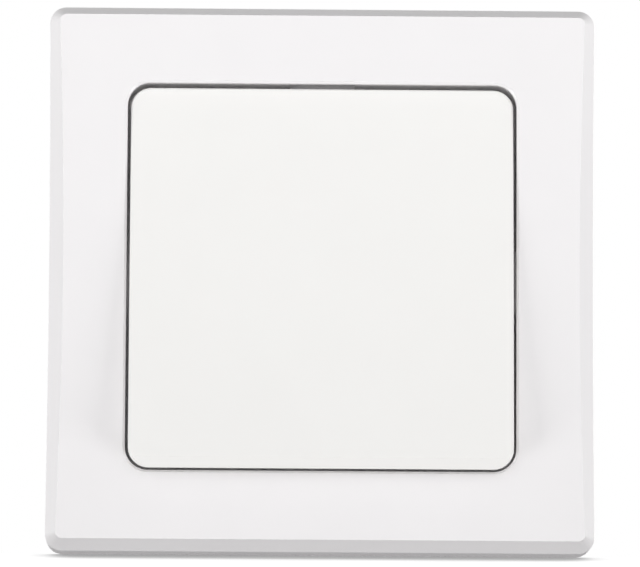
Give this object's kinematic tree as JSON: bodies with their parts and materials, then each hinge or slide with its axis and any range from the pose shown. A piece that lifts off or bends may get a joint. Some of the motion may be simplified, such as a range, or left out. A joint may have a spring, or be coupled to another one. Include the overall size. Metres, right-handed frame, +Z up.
{
  "type": "flush wall push button switch",
  "caption": "Square flush-mounted light push button: waisted cover frame, wide tilting spring-return button, steel support ring, and a moulded insert with contacts and screw terminals.",
  "frame": {"origin": "centre of the support ring on the wall's surface, midway between the two round fixing holes", "axes": "+X to the right, +Z up, the front faces -Y and the insert reaches into the wall along +Y"},
  "size_m": [0.081, 0.0359, 0.081],
  "materials": {
    "frame_shell": "white moulded plastic, satin gloss",
    "button_shell": "warm white moulded plastic, satin gloss",
    "carrier_plastic": "light grey moulded plastic",
    "base_plastic": "pale grey moulded plastic",
    "ring_steel": "zinc-plated pressed steel",
    "brass_parts": "bare brass",
    "silver_contacts": "silver contact face",
    "spring_steel": "drawn spring wire",
    "plated_screws": "yellow-passivated steel"
  },
  "bodies": {
    "housing": {"clamp_screw_left": "plated_screws", "clamp_screw_right": "plated_screws", "contact_strip_left": "brass_parts", "contact_strip_right": "brass_parts", "cover_frame": "frame_shell", "fixed_contact_left": "silver_contacts", "fixed_contact_right": "silver_contacts", "mechanism_deck": "base_plastic", "return_spring_left": "spring_steel", "return_spring_right": "spring_steel", "ring_screw_1": "plated_screws", "ring_screw_2": "plated_screws", "ring_screw_3": "plated_screws", "ring_screw_4": "plated_screws", "support_ring": "ring_steel", "switch_base": "base_plastic", "terminal_block_left": "brass_parts", "terminal_block_right": "brass_parts"},
    "button": {"button_cap": "button_shell", "button_carrier": "carrier_plastic", "contact_bridge": "brass_parts", "moving_contact_left": "silver_contacts", "moving_contact_right": "silver_contacts"}
  },
  "joints": [
    {"name": "button_press", "type": "hinge", "parent": "housing", "child": "button", "pos_m": [0, -0.003, 0], "axis": [1, 0, 0], "range_deg": [0, 3.5], "stiffness_Nm_per_rad": 0.2, "springref_deg": -8.02, "deforming": ["return_spring_left", "return_spring_right"]}
  ]
}
